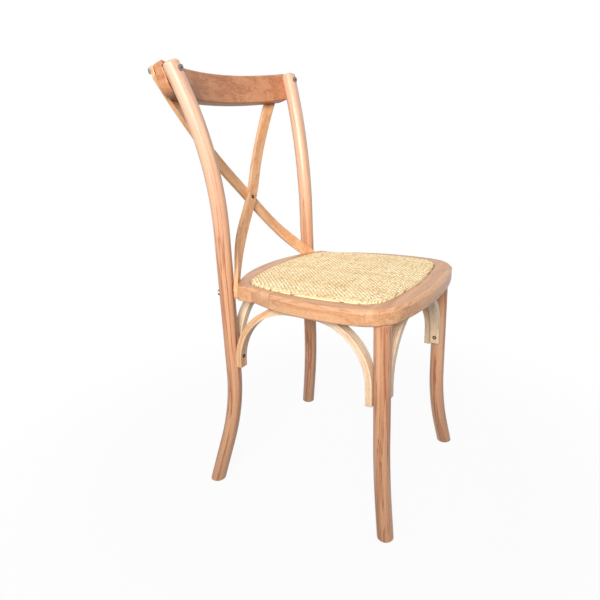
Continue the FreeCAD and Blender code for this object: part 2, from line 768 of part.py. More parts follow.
def boltSolid(length, clearance=0.0):
    shank = size("boltDiameter") / 2 + clearance
    solid = headSolid("boltHeadHeight", clearance).fuse(Part.makeCylinder(shank, length + clearance))
    if clearance:
        return solid
    corners = [Vector(size("boltSocketWidth") / 2, 0, -size("boltHeadHeight"))]
    turn = FreeCAD.Rotation(Vector(0, 0, 1), 60)
    for _ in range(6):
        corners.append(turn.multVec(corners[-1]))
    socket = Part.Face(Part.makePolygon(corners)).extrude(Vector(0, 0, size("boltSocketDepth")))
    return solid.cut(socket)


def capNutSolid(clearance=0.0):
    cap = headSolid("capNutHeight", clearance)
    if clearance:
        return cap
    depth = size("capNutBore")
    return cap.cut(Part.makeCylinder(size("boltDiameter") / 2 + size("holeClearance"), depth,
                                     Vector(0, 0, -depth)))


def squareNutSolid(clearance=0.0):
    """A square nut across the bolt, or with a clearance the slot that it drops into from below."""
    width = size("squareNutWidth") + 2 * clearance
    thickness = size("squareNutThickness") + 2 * clearance
    low = size("seatBoltRise") - width / 2
    if clearance:
        return Part.makeBox(width, thickness, 2 * width, Vector(-width / 2, -thickness / 2, low - width))
    nut = Part.makeBox(width, thickness, width, Vector(-width / 2, -thickness / 2, low))
    bore = Part.makeCylinder(size("boltDiameter") / 2 + size("holeClearance"), thickness,
                             Vector(0, -thickness / 2, size("seatBoltRise")), Vector(0, 1, 0))
    return nut.cut(bore)


def looseTenonSolid(clearance=0.0):
    sides = [size("looseTenon" + word) + 2 * clearance for word in ("Thickness", "Height", "Length")]
    return Part.makeBox(*sides, Vector(*[-side / 2 for side in sides]))


def aimed(point, direction):
    return FreeCAD.Placement(point, FreeCAD.Rotation(Vector(0, 0, 1), direction))


def mirrored(placement):
    """The same place on the other side of the chair; the fasteners are themselves symmetric."""
    turn = placement.Rotation.Q
    base = placement.Base
    return FreeCAD.Placement(Vector(-base.x, base.y, base.z),
                             FreeCAD.Rotation(turn[0], -turn[1], -turn[2], turn[3]))


def crestBoltPlaces():
    """The seat of the bolt's head on the left post, the nut's face on the strip, and the way between."""
    azimuth = math.radians(size("crestBoltAzimuth"))
    along = Vector(math.sin(azimuth), math.cos(azimuth), 0)
    centre = postCentre(crestBoltHeight)
    before = centre - along * (legRadius - size("seatingGap"))
    place = crestPlacement().inverse()
    local, way = place.multVec(centre), place.Rotation.multVec(along)
    start = Vector(local.x, local.y + size("crestRadius"), 0)
    way.z = 0
    target = (size("crestRadius") + size("crestThickness") + size("stripThickness")
              + 2 * size("seatingGap"))
    a, b, c = way.dot(way), 2 * start.dot(way), start.dot(start) - target ** 2
    reach = (-b + math.sqrt(b * b - 4 * a * c)) / (2 * a)
    behind = centre + along * (reach - size("capSink"))
    return aimed(before, along), aimed(behind, along * -1), (behind - before).Length


def looseTenonPlaces():
    """One loose tenon on edge in each left joint of the seat frame, along Y."""
    places = []
    widest, radius = size("seatWidestSetback"), size("seatSideRadius")
    alongY = FreeCAD.Rotation(Vector(1, 0, 0), Vector(0, 0, 1), Vector(0, -1, 0), "ZYX")
    for joint in ("frontJointSetback", "rearJointSetback"):
        y = size(joint)
        side = size("seatHalfWidth") - radius + math.sqrt(radius ** 2 - (y - widest) ** 2)
        middle = Vector(side - size("looseTenonInset"), y, (seatUnderside + size("seatHeight")) / 2)
        places.append(FreeCAD.Placement(middle, alongY))
    return places


def bothSides(places):
    return places + [mirrored(place) for place in places if abs(place.Base.x) > 1]


def fastenerGroups():
    """Each group: its name, the solid, its clearance solid, and where each one goes."""
    clearance = size("holeClearance")
    before, behind, grip = crestBoltPlaces()
    inwards = Vector(-size("postHalfSpacing"), rearCentre - postSetback, 0).normalize()
    post = Vector(size("postHalfSpacing"), postSetback, 0)
    boltSeat = post - inwards * (legRadius - size("capSink"))
    nutMiddle = post + inwards * (postReach - size("seatRearRadius") + size("squareNutInset"))
    bolt = aimed(boltSeat + Vector(0, 0, seatBoltHeight), inwards)
    nutTurn = FreeCAD.Rotation(Vector(0, 1, 0), inwards)
    nut = FreeCAD.Placement(nutMiddle + Vector(0, 0, seatUnderside), nutTurn)
    boltLength = (nutMiddle - boltSeat).Length + size("squareNutThickness") / 2
    crestLength = grip + size("capNutBore") - size("seatingGap")
    return (
        ("crest_bolts", boltSolid(crestLength), boltSolid(crestLength, clearance), bothSides([before])),
        ("crest_cap_nuts", capNutSolid(), capNutSolid(clearance), bothSides([behind])),
        ("seat_bolts", boltSolid(boltLength), boltSolid(boltLength, clearance), bothSides([bolt])),
        ("seat_square_nuts", squareNutSolid(), squareNutSolid(clearance), bothSides([nut])),
        ("rail_tenons", looseTenonSolid(), looseTenonSolid(clearance), bothSides(looseTenonPlaces())),
    )


def placed(solid, places):
    copies = []
    for place in places:
        copy = solid.copy()
        copy.Placement = place
        copies.append(copy)
    return copies


# Assembly: the wooden forms less the holes for fasteners and tenons, left ones mirrored to the right

parts = {}
holes = []
for name, solid, clearanceSolid, places in fastenerGroups():
    group = doc.addObject("Part::Feature", name)
    group.Shape = Part.makeCompound(placed(solid, places))
    parts[name] = group
    holes += placed(clearanceSolid, places)
holeShape = holes[0].multiFuse(holes[1:])
drilling = doc.addObject("Part::Feature", "drilling")
drilling.Shape = holeShape

mortises = doc.addObject("Part::Feature", "mortises")
mortiseRadius = size("tenonDiameter") / 2 + size("tenonClearance")
mortiseDepth = size("tenonLength") + size("tenonClearance")
mortises.Shape = Part.makeCompound([
    Part.makeCylinder(mortiseRadius, mortiseDepth,
                      Vector(side * size("frontLegHalfSpacing"), -size("frontLegAdvance"), seatUnderside))
    for side in (1, -1)])


def drilled(source, label):
    cut = doc.addObject("Part::Cut", label)
    cut.Label = label
    cut.Base = source
    cut.Tool = drilling
    parts[label] = cut
    return cut


def mirroredPart(source, label):
    parts[label] = mirrorOf(source, label)


mirroredPart(drilled(makeRearLeg(), "rear_leg_left"), "rear_leg_right")
mirroredPart(drilled(makeFrontLeg(), "front_leg_left"), "front_leg_right")

ring = doc.addObject("Part::Cut", "seat_ring_with_mortises")
ring.Base = makeSeatRing()
ring.Tool = mortises
for label, region in makeRailRegions().items():
    rail = doc.addObject("Part::Common", label + "_form")
    rail.Base = ring
    rail.Tool = region
    drilled(rail, label)
mirroredPart(parts["seat_side_rail_left"], "seat_side_rail_right")
drilled(makeSeatBoard(), "seat_board")
parts["woven_seat_panel"] = makeWovenPanel()

notches = doc.addObject("Part::Feature", "post_notches")
notches.Shape = postNotches()
crest = doc.addObject("Part::Cut", "crest_with_notches")
crest.Base = makeCrest()
crest.Tool = notches
drilled(crest, "crest_rail")
drilled(makeStrip("cross_strip_front", 1, -1), "cross_strip_front")
drilled(makeStrip("cross_strip_back", -1, 1), "cross_strip_back")

for name, leg, turn, sizes in braces:
    brace = makeBrace(name, sizes + "Drop", sizes + "Radius")
    brace.Placement = bracePlacement(leg, turn)
    mirroredPart(drilled(brace, name + "_left"), name + "_right")

doc.recompute()

for item in doc.Objects:
    if "Invalid" in item.State or "Error" in item.State:
        raise RuntimeError("%s failed: %s" % (item.Label, item.State))
for label, part in parts.items():
    if part.Shape.isNull() or not part.Shape.isValid():
        raise RuntimeError("%s has no sound shape" % label)

os.makedirs("parts", exist_ok=True)
for label, part in parts.items():
    part.Shape.exportStep("parts/%s.step" % label)
    box = part.Shape.BoundBox
    print("%-24s %2d solids %10.0f mm3  x %.1f to %.1f  y %.1f to %.1f  z %.1f to %.1f" % (
        label, len(part.Shape.Solids), part.Shape.Volume,
        box.XMin, box.XMax, box.YMin, box.YMax, box.ZMin, box.ZMax))
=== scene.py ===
import json
import math
import bmesh
import bpy
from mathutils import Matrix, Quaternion, Vector
from mathutils.bvhtree import BVHTree
from mathutils.kdtree import KDTree


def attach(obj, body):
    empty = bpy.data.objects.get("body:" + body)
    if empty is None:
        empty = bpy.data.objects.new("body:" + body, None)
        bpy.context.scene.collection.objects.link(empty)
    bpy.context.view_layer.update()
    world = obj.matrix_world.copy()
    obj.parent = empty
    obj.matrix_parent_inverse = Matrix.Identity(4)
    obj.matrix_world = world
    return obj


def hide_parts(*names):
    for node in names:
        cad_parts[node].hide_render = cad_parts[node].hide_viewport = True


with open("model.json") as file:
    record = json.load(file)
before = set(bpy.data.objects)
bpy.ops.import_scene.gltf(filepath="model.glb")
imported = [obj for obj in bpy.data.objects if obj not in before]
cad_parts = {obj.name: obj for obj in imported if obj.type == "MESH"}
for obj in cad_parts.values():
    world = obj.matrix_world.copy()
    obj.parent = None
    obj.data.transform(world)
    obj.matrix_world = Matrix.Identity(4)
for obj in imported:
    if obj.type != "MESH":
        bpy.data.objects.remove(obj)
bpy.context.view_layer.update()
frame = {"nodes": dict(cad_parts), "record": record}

nodes = frame["nodes"]
print("frame loaded:", len(nodes), "nodes")


# small helpers

def deselectAll():
    if bpy.context.object and bpy.context.object.mode != "OBJECT":
        bpy.ops.object.mode_set(mode="OBJECT")
    bpy.ops.object.select_all(action="DESELECT")


def makeActive(obj):
    deselectAll()
    obj.select_set(True)
    bpy.context.view_layer.objects.active = obj


def applyPlace(obj):
    makeActive(obj)
    bpy.ops.object.transform_apply(location=True, rotation=True, scale=True)


def applyModifier(obj, kind, **values):
    makeActive(obj)
    modifier = obj.modifiers.new(kind.lower(), kind)
    for name, value in values.items():
        setattr(modifier, name, value)
    bpy.ops.object.modifier_apply(modifier=modifier.name)


def repeatPiece(obj, count, step, **values):
    applyModifier(obj, "ARRAY", count=count, use_relative_offset=False, use_constant_offset=True,
                  constant_offset_displace=step, **values)


def selectWhere(obj, kind, wanted):
    # picks vertices, edges or faces in edit mode by their place
    modes = {"verts": "VERT", "edges": "EDGE", "faces": "FACE"}
    bpy.ops.mesh.select_all(action="DESELECT")
    bpy.ops.mesh.select_mode(type=modes[kind])
    mesh = bmesh.from_edit_mesh(obj.data)
    for item in getattr(mesh, kind):
        if wanted(item):
            item.select_set(True)
    mesh.select_flush_mode()
    bmesh.update_edit_mesh(obj.data)


def copyPiece(obj, name):
    copy = obj.copy()
    copy.data = obj.data.copy()
    copy.name = name
    bpy.context.scene.collection.objects.link(copy)
    return copy


def paint(red, green, blue):
    # a screen colour, 0 to 255, as the shaders want it
    return tuple(((part / 255 + 0.055) / 1.055) ** 2.4 for part in (red, green, blue)) + (1.0,)


def grey(value):
    return (value, value, value, 1.0)


# node helpers for the finishes

def newFinish(name):
    material = bpy.data.materials.new(name)
    material.use_nodes = True
    return material, material.node_tree, material.node_tree.nodes["Principled BSDF"]


def addNode(tree, kind, values=None, **settings):
    node = tree.nodes.new("ShaderNode" + kind)
    for name, value in settings.items():
        setattr(node, name, value)
    for socket, value in (values or {}).items():
        if isinstance(value, bpy.types.NodeSocket):
            tree.links.new(value, node.inputs[socket])
        else:
            node.inputs[socket].default_value = value
    return node


def maths(tree, operation, first, second=0.0):
    return addNode(tree, "Math", {0: first, 1: second}, operation=operation).outputs[0]


def diagonal(tree, first, second):
    squares = [maths(tree, "MULTIPLY", side, side) for side in (first, second)]
    return maths(tree, "SQRT", maths(tree, "ADD", *squares))


def rescale(tree, value, low, high, newLow=0.0, newHigh=1.0):
    return addNode(tree, "MapRange", {"Value": value, "From Min": low, "From Max": high,
                                      "To Min": newLow, "To Max": newHigh}).outputs[0]


def ramp(tree, factor, stops):
    node = addNode(tree, "ValToRGB", {0: factor})
    elements = node.color_ramp.elements
    while len(elements) < len(stops):
        elements.new(1.0)
    for element, (place, colour) in zip(elements, stops):
        element.position = place
        element.color = colour
    return node.outputs["Color"]


def mixColour(tree, factor, first, second, blend="MIX"):
    node = addNode(tree, "Mix", data_type="RGBA", blend_type=blend)
    for socket, value in (("Factor_Float", factor), ("A_Color", first), ("B_Color", second)):
        target = next(item for item in node.inputs if item.identifier == socket)
        if isinstance(value, bpy.types.NodeSocket):
            tree.links.new(value, target)
        else:
            target.default_value = value
    return next(item for item in node.outputs if item.identifier == "Result_Color")


def addRelief(tree, shader, height, strength, depth, **inputs):
    bump = addNode(tree, "Bump", dict({"Height": height, "Strength": strength, "Distance": depth}, **inputs))
    tree.links.new(bump.outputs[0], shader.inputs["Normal"])


def objectPlace(tree):
    return addNode(tree, "TexCoord").outputs["Object"]


def seenRays(tree):
    # 1 for what the camera sees, also in a gloss or through glass, and 0 for light thrown from piece to piece
    path = addNode(tree, "LightPath")
    indirect = maths(tree, "MAXIMUM", path.outputs["Is Glossy Ray"], path.outputs["Is Transmission Ray"])
    return maths(tree, "MAXIMUM", path.outputs["Is Camera Ray"], indirect)


def giveFinish(obj, material):
    obj.data.materials.clear()
    obj.data.materials.append(material)


# Wood grain: every way of laying it gives coordinates whose Z runs along the grain

legBends = {
    "rear": (
        {"start": 0.2611, "way": -1, "radius": 0.527, "angle": 17.8, "azimuth": 45.0},
        {"start": 0.565, "way": 1, "radius": 0.760, "angle": 20.8, "azimuth": 58.5},
    ),
    "front": (
        {"start": 0.1976, "way": -1, "radius": 0.610, "angle": 14.0, "azimuth": -39.0},
    ),
}
braceBends = (
    {"name": "side_front_brace", "axis": "Y", "leg": -0.214, "way": 1, "radius": 0.123},
    {"name": "side_rear_brace", "axis": "Y", "leg": 0.132, "way": -1, "radius": 0.144},
    {"name": "front_brace", "axis": "X", "leg": 0.164, "way": -1, "radius": 0.132},
    {"name": "rear_brace", "axis": "X", "leg": 0.162, "way": -1, "radius": 0.126},
)
braceSeat = {"underside": 0.430, "start": 0.0165}  # a brace starts this far from its leg's middle line
crestBow = {"lean": 16.0, "radius": 0.560, "centre": -0.13}
stripSlope = 40.3


def reachAt(bend, height):
    # how far the bar has swung out at a height
    rise = max((height - bend["start"]) * bend["way"], 0)
    tilt = math.radians(bend["angle"])
    straight = rise - bend["radius"] * math.sin(tilt)
    if straight > 0:
        return bend["radius"] * (1 - math.cos(tilt)) + straight * math.tan(tilt)
    return bend["radius"] - math.sqrt(bend["radius"] ** 2 - rise ** 2)


def legGrain(kind, side):
    chairHeight, widestReach, steps = 0.9, 0.2, 18

    def lay(tree):
        x, y, z = addNode(tree, "SeparateXYZ", {0: objectPlace(tree)}).outputs
        share = maths(tree, "DIVIDE", z, chairHeight)
        for bend in legBends[kind]:
            curve = addNode(tree, "FloatCurve", {"Value": share})
            points = curve.mapping.curves[0].points
            places = [(step / steps, reachAt(bend, chairHeight * step / steps) / widestReach)
                      for step in range(steps + 1)]
            points[0].location, points[1].location = places[0], places[-1]
            for place in places[1:-1]:
                points.new(*place)
            curve.mapping.update()
            azimuth = math.radians(bend["azimuth"])
            reach = maths(tree, "MULTIPLY", curve.outputs["Value"], widestReach)
            x = maths(tree, "SUBTRACT", x, maths(tree, "MULTIPLY", reach, side * math.cos(azimuth)))
            y = maths(tree, "SUBTRACT", y, maths(tree, "MULTIPLY", reach, math.sin(azimuth)))
        return addNode(tree, "CombineXYZ", {0: x, 1: y, 2: z}).outputs[0]
    return lay


def turnedGrain(turn):
    def lay(tree):
        turned = addNode(tree, "Mapping", {"Vector": objectPlace(tree),
                                           "Rotation": [math.radians(part) for part in turn]})
        return turned.outputs[0]
    return lay


def crestGrain(lean, radius, centre):
    # the board was bent, so its grain follows the bow
    def lay(tree):
        turned = turnedGrain((lean, 0, 0))(tree)
        x, y, z = addNode(tree, "SeparateXYZ", {0: turned}).outputs
        back = maths(tree, "SUBTRACT", y, centre)
        along = maths(tree, "MULTIPLY", maths(tree, "ARCTAN2", x, back), radius)
        return addNode(tree, "CombineXYZ", {0: z, 1: diagonal(tree, x, back), 2: along}).outputs[0]
    return lay


def braceGrain(axis, leg, way, radius):
    # up the leg first, then round the quarter bend under the seat
    def lay(tree):
        split = addNode(tree, "SeparateXYZ", {0: objectPlace(tree)})
        across = split.outputs["Y" if axis == "X" else "X"]
        run = maths(tree, "MULTIPLY", maths(tree, "SUBTRACT", split.outputs[axis], leg), way)
        before = maths(tree, "SUBTRACT", braceSeat["start"] + radius, run)
        height = maths(tree, "SUBTRACT", split.outputs["Z"], braceSeat["underside"] - radius)
        above = maths(tree, "MAXIMUM", height, 0.0)
        turn = maths(tree, "MULTIPLY", maths(tree, "ARCTAN2", above, before), radius)
        along = maths(tree, "ADD", turn, maths(tree, "MINIMUM", height, 0.0))
        return addNode(tree, "CombineXYZ", {0: across, 1: diagonal(tree, before, above), 2: along}).outputs[0]
    return lay


def layGrains():
    # the way the grain runs in each wooden node
    ways = {}
    for side, word in ((1, "left"), (-1, "right")):
        ways["rear_leg_" + word] = legGrain("rear", side)
        ways["front_leg_" + word] = legGrain("front", side)
        ways["seat_side_rail_" + word] = turnedGrain((90, 0, 0))
        for bend in braceBends:
            mirror = side if bend["axis"] == "X" else 1
            ways["%s_%s" % (bend["name"], word)] = braceGrain(
                bend["axis"], mirror * bend["leg"], mirror * bend["way"], bend["radius"])
    ways["crest_rail"] = crestGrain(**crestBow)
    ways["cross_strip_front"] = turnedGrain((0, -stripSlope, 0))
    ways["cross_strip_back"] = turnedGrain((0, stripSlope, 0))
    for name in ("seat_front_rail", "seat_rear_rail", "seat_board"):
        ways[name] = turnedGrain((0, 90, 0))
    ways["rail_tenons"] = turnedGrain((90, 0, 0))
    return ways


def grainNoise(tree, place, across, along, detail, distortion=0.0):
    scaled = addNode(tree, "Mapping", {"Vector": place, "Scale": (1 / across, 1 / across, 1 / along)})
    noise = addNode(tree, "TexNoise", {"Vector": scaled.outputs[0], "Scale": 1.0, "Detail": detail,
                                       "Roughness": 0.55, "Distortion": distortion})
    return noise.outputs["Fac"]


# Wood finishes

timber = {
    "bandDistortion": 0.4,
    "fleckWidth": 0.0007,
    "fleckLength": 0.006,
    "growthLine": (0.43, 0.475, 0.49),  # where in the bands a growth line starts, is darkest and ends
    # heights over which the painted highlight grows up the back
    "bleachHeights": (0.50, 0.80),
    # heights over which painted shade grows down towards the feet, and the tone it darkens by
    "paintedShadeHeights": (0.32, 0.0),
    "paintedShadeTone": 0.45,
    "wornTurns": (0.995, 0.85),  # from an even face to a full edge
    "glossSpread": (-0.05, 0.09),
    "poreRelief": 0.4,
    "relief": 0.16,
    "reliefDepth": 0.0004,
    "coatRoughness": 0.40,
    "specular": 0.4,
}


def woodLook(dark, middle, light, worn, **changes):
    look = {
        "dark": paint(*dark),
        "middle": paint(*middle),
        "light": paint(*light),
        "worn": paint(*worn),
        "bandWidth": 0.016,
        "bandLength": 0.30,
        "streakWidth": 0.0024,
        "streakLength": 0.10,
        "streakShare": 0.45,
        "growth": paint(186, 130, 96),
        "growthShare": 0.4,
        "pore": paint(150, 96, 62),
        "poreShare": 0.35,
        # the painted highlight's colour and share towards the top of the back
        "paintedHighlightColour": paint(240, 206, 180),
        "bleach": 0.0,
        # share of painted shade towards the feet
        "paintedShade": 0.38,
        "edge": 0.0025,
        "wear": 0.55,
        "gloss": 0.40,
        "coat": 0.35,
    }
    look.update(changes)
    return look


def woodFinish(name, look, layGrain, shift):
    material, tree, shader = newFinish(name)
    white = grey(1.0)
    place = addNode(tree, "Mapping", {"Vector": layGrain(tree), "Location": shift}).outputs[0]
    bands = grainNoise(tree, place, look["bandWidth"], look["bandLength"], 3.0, timber["bandDistortion"])
    streaks = grainNoise(tree, place, look["streakWidth"], look["streakLength"], 3.0)
    flecks = grainNoise(tree, place, timber["fleckWidth"], timber["fleckLength"], 1.0)
    figure = maths(tree, "ADD", maths(tree, "MULTIPLY", bands, 1 - look["streakShare"]),
                   maths(tree, "MULTIPLY", streaks, look["streakShare"]))
    colour = ramp(tree, figure, ((0.30, look["dark"]), (0.50, look["middle"]), (0.70, look["light"])))
    # a few bold growth lines run along the piece
    lines = ramp(tree, bands, tuple(zip(timber["growthLine"], (white, look["growth"], white))))
    colour = mixColour(tree, look["growthShare"], colour, lines, "MULTIPLY")
    # painted highlight makes the wood paler towards the top of the back, and painted shade makes it darker
    # towards the feet
    height = addNode(tree, "SeparateXYZ", {0: objectPlace(tree)}).outputs["Z"]
    bleached = rescale(tree, height, *timber["bleachHeights"], 0.0, look["bleach"])
    colour = mixColour(tree, bleached, colour, look["paintedHighlightColour"])
    # painted shade: darker towards the feet
    paintedShadeShare = rescale(tree, height, *timber["paintedShadeHeights"], 0.0, look["paintedShade"])
    colour = mixColour(tree, paintedShadeShare, colour, grey(timber["paintedShadeTone"]), "MULTIPLY")
    pores = ramp(tree, flecks, ((0.34, look["pore"]), (0.44, white)))
    colour = mixColour(tree, look["poreShare"], colour, pores, "MULTIPLY")
    # handled edges are paler, where the bevelled normal leaves the face's own
    soft = addNode(tree, "Bevel", {"Radius": look["edge"]}, samples=6).outputs[0]
    face = addNode(tree, "NewGeometry").outputs["True Normal"]
    turn = addNode(tree, "VectorMath", {0: soft, 1: face}, operation="DOT_PRODUCT").outputs["Value"]
    worn = maths(tree, "MULTIPLY", rescale(tree, turn, *timber["wornTurns"]), look["wear"])
    colour = mixColour(tree, worn, colour, look["worn"])
    tree.links.new(colour, shader.inputs["Base Color"])
    glossy, dull = (look["gloss"] + part for part in timber["glossSpread"])
    tree.links.new(rescale(tree, streaks, 0.0, 1.0, glossy, dull), shader.inputs["Roughness"])
    relief = maths(tree, "ADD", streaks, maths(tree, "MULTIPLY", pores, timber["poreRelief"]))
    addRelief(tree, shader, relief, timber["relief"], timber["reliefDepth"], Normal=soft)
    shader.inputs["Coat Weight"].default_value = look["coat"]
    shader.inputs["Coat Roughness"].default_value = timber["coatRoughness"]
    shader.inputs["Specular IOR Level"].default_value = timber["specular"]
    return material


woods = {
    # the posts carry a painted highlight towards the top of the back
    "post_wood": woodLook((168, 108, 72), (210, 154, 114), (226, 176, 138), (238, 204, 170),
                          streakShare=0.35, coat=0.6, bleach=0.42, growthShare=0.9, poreShare=0.2,
                          bandWidth=0.011, bandLength=0.36),
    "crest_wood": woodLook((158, 94, 58), (196, 134, 94), (212, 154, 112), (226, 180, 140),
                           bandWidth=0.022, coat=0.1),
    "strip_wood": woodLook((198, 136, 88), (228, 172, 122), (240, 190, 142), (250, 228, 196),
                           wear=0.8, edge=0.0016),
    "seat_wood": woodLook((190, 132, 90), (214, 160, 116), (228, 180, 138), (232, 190, 152), edge=0.004),
    "brace_wood": woodLook((222, 182, 142), (244, 216, 182), (252, 232, 206), (253, 238, 216), edge=0.002),
    "board_wood": woodLook((168, 128, 88), (190, 150, 108), (206, 168, 126), (214, 180, 140)),
}
# the rear side braces are of a darker wood than the others
amberBrace = woodLook((206, 150, 102), (232, 186, 140), (244, 206, 164), (248, 220, 186), edge=0.002)
shiftSteps = (0.37, 0.61, 0.83)  # each piece is cut from another place in the grain


# Steel finishes

scratch = {"width": 0.0006, "length": 0.004, "shade": 0.7, "roughness": (-0.08, 0.12)}


def steelFinish(name, colour, roughness):
    material, tree, shader = newFinish(name)
    scratches = grainNoise(tree, objectPlace(tree), scratch["width"], scratch["length"], 2.0)
    shade = tuple(part * scratch["shade"] for part in colour[:3]) + (1,)
    tree.links.new(ramp(tree, scratches, ((0.3, shade), (0.7, colour))), shader.inputs["Base Color"])
    bright, dull = (roughness + part for part in scratch["roughness"])
    tree.links.new(rescale(tree, scratches, 0.0, 1.0, bright, dull), shader.inputs["Roughness"])
    shader.inputs["Metallic"].default_value = 1.0
    return material


steels = {
    "bright_steel": steelFinish("zincSteel", paint(176, 174, 170), 0.38),
    "dark_steel": steelFinish("greySteel", paint(158, 146, 136), 0.40),
}
screwSteel = steelFinish("bronzedScrew", paint(62, 44, 36), 0.55)

grainWays = layGrains()
for number, part in enumerate(frame["record"]["subparts"]):
    nodeName, slot = part["node"], part["material_slot"]
    if slot in woods:
        shift = tuple(number * step % 1.0 for step in shiftSteps)
        look = amberBrace if nodeName.startswith("side_rear_brace") else woods[slot]
        giveFinish(nodes[nodeName], woodFinish(nodeName + "Finish", look, grainWays[nodeName], shift))
    elif slot in steels:
        giveFinish(nodes[nodeName], steels[slot])
print("wood and steel finishes laid")


# Woven cane seat: flat cane strands, over one and under one, over a thin pad

cane = {
    "pitch": 0.0046,  # from strand to strand
    "width": 0.0044,
    "thickness": 0.0009,
    "wave": 0.00046,  # how far a strand rises and falls
    "reach": 0.40,  # the strands are made this long, and cut at the edge later
    "weld": 0.00002,
    "endPasses": 4,
    "cutHeight": 0.456,  # where the panel's outline is taken
    "sampleStep": 0.0004,
    "edgeHeight": 0.4640,
    "crown": 0.0040,  # the middle is higher than the edge by this much
    "crownReach": 0.12,
    "edgeRound": 0.0050,
    "gap": 0.0004,  # the pad's edge lies this far inside the panel's outline
    "strandEnd": 0.0014,  # the strands stop this far inside the outline
    "rimWidth": 0.0034,  # the smooth bound rim round the weave
    "rimDrop": 0.0001,
    "padDrop": 0.0011,
    "padBottom": 0.4525,
    "padWall": 0.004,
    "padSpacing": 20,  # every so many samples of the outline
    "padRings": (0.0005, 0.0008, 0.0012, 0.0020, 0.0030),
    "padShares": (0.96, 0.92, 0.86, 0.75, 0.55, 0.35),
    "padSmooth": 50,
}


def panelOutline():
    # the loop where a level cut meets the panel's own CAD solid
    panel = copyPiece(nodes["woven_seat_panel"], "panelCut")
    panel.parent = None
    makeActive(panel)
    bpy.ops.object.mode_set(mode="EDIT")
    bpy.ops.mesh.select_all(action="SELECT")
    bpy.ops.mesh.remove_doubles(threshold=0.00001)
    bpy.ops.mesh.bisect(plane_co=(0, 0, cane["cutHeight"]), plane_no=(0, 0, 1),
                        clear_inner=True, clear_outer=True)
    bpy.ops.object.mode_set(mode="OBJECT")
    loop = {}
    for edge in panel.data.edges:
        first, second = edge.vertices
        loop.setdefault(first, []).append(second)
        loop.setdefault(second, []).append(first)
    order = [0]
    while len(order) < len(loop):
        order.append(next(item for item in loop[order[-1]] if item not in order[-2:]))
    points = [panel.data.vertices[item].co.copy() for item in order]
    bpy.data.objects.remove(panel)
    return points


def sampleOutline(points):
    # close points along the outline, each with its way out of the seat
    centre = sum(points, Vector()) / len(points)
    samples = []
    for first, second in zip(points, points[1:] + points[:1]):
        side = (second - first).cross(Vector((0, 0, 1))).normalized()
        if side.dot(first - centre) < 0:
            side.negate()
        pieces = max(1, int((second - first).length / cane["sampleStep"]))
        for piece in range(pieces):
            point = first.lerp(second, piece / pieces)
            samples.append((Vector((point.x, point.y, 0)), side))
    return samples


outline = panelOutline()
edgeSamples = sampleOutline(outline)
edgeTree = KDTree(len(edgeSamples))
for index, (point, side) in enumerate(edgeSamples):
    edgeTree.insert(point, index)
edgeTree.balance()
print("panel outline:", len(outline), "corners")


def edgeDistance(x, y):
    # how far a place lies inside the outline, below zero outside it
    place = Vector((x, y, 0))
    nearest, index, distance = edgeTree.find(place)
    return -distance if (place - nearest).dot(edgeSamples[index][1]) > 0 else distance


def seatTop(distance):
    # the crowned height of the seat at a distance in from its edge
    share = min(distance / cane["crownReach"], 1.0)
    height = cane["edgeHeight"] + cane["crown"] * (1 - (1 - share) ** 2)
    short = cane["edgeRound"] - min(distance, cane["edgeRound"])
    return height - cane["edgeRound"] + math.sqrt(cane["edgeRound"] ** 2 - short ** 2)


def makeStrands(name, turn, shift):
    # a level sheet of wavy strands, with every other one moved on by one crossing
    pitch, wave = cane["pitch"], cane["wave"]
    deselectAll()
    bpy.ops.mesh.primitive_cylinder_add(vertices=4, radius=0.5, depth=2 * pitch, end_fill_type="NOTHING",
                                        rotation=(0, math.radians(90), 0))
    strand = bpy.context.object
    strand.name = name
    applyPlace(strand)
    bpy.ops.object.mode_set(mode="EDIT")
    selectWhere(strand, "edges", lambda edge: abs(edge.verts[0].co.x - edge.verts[1].co.x) > pitch)
    bpy.ops.mesh.subdivide(number_cuts=3)
    bpy.ops.mesh.select_all(action="SELECT")
    bpy.ops.transform.resize(value=(1, cane["width"], cane["thickness"]))
    selectWhere(strand, "verts", lambda vert: abs(vert.co.x) < pitch / 4)
    bpy.ops.transform.translate(value=(0, 0, -wave))
    selectWhere(strand, "verts", lambda vert: abs(vert.co.x) > pitch * 3 / 4)
    bpy.ops.transform.translate(value=(0, 0, wave))
    bpy.ops.object.mode_set(mode="OBJECT")
    repeats = int(cane["reach"] / (2 * pitch))
    repeatPiece(strand, repeats, (2 * pitch, 0, 0), use_merge_vertices=True, merge_threshold=cane["weld"])
    repeatPiece(strand, 2, (pitch, pitch, 0))
    repeatPiece(strand, repeats, (0, 2 * pitch, 0))
    depths = [point.y for point in outline]
    middle = Vector((0, (min(depths) + max(depths)) / 2, 0))
    cells = math.floor(cane["reach"] / 2 / pitch) * pitch
    corner = Vector((cells if turn else -cells, -cells, 0))
    origin = corner + middle + shift
    strand.rotation_euler = (0, 0, math.radians(turn))
    strand.location = origin
    applyPlace(strand)
    return strand, origin


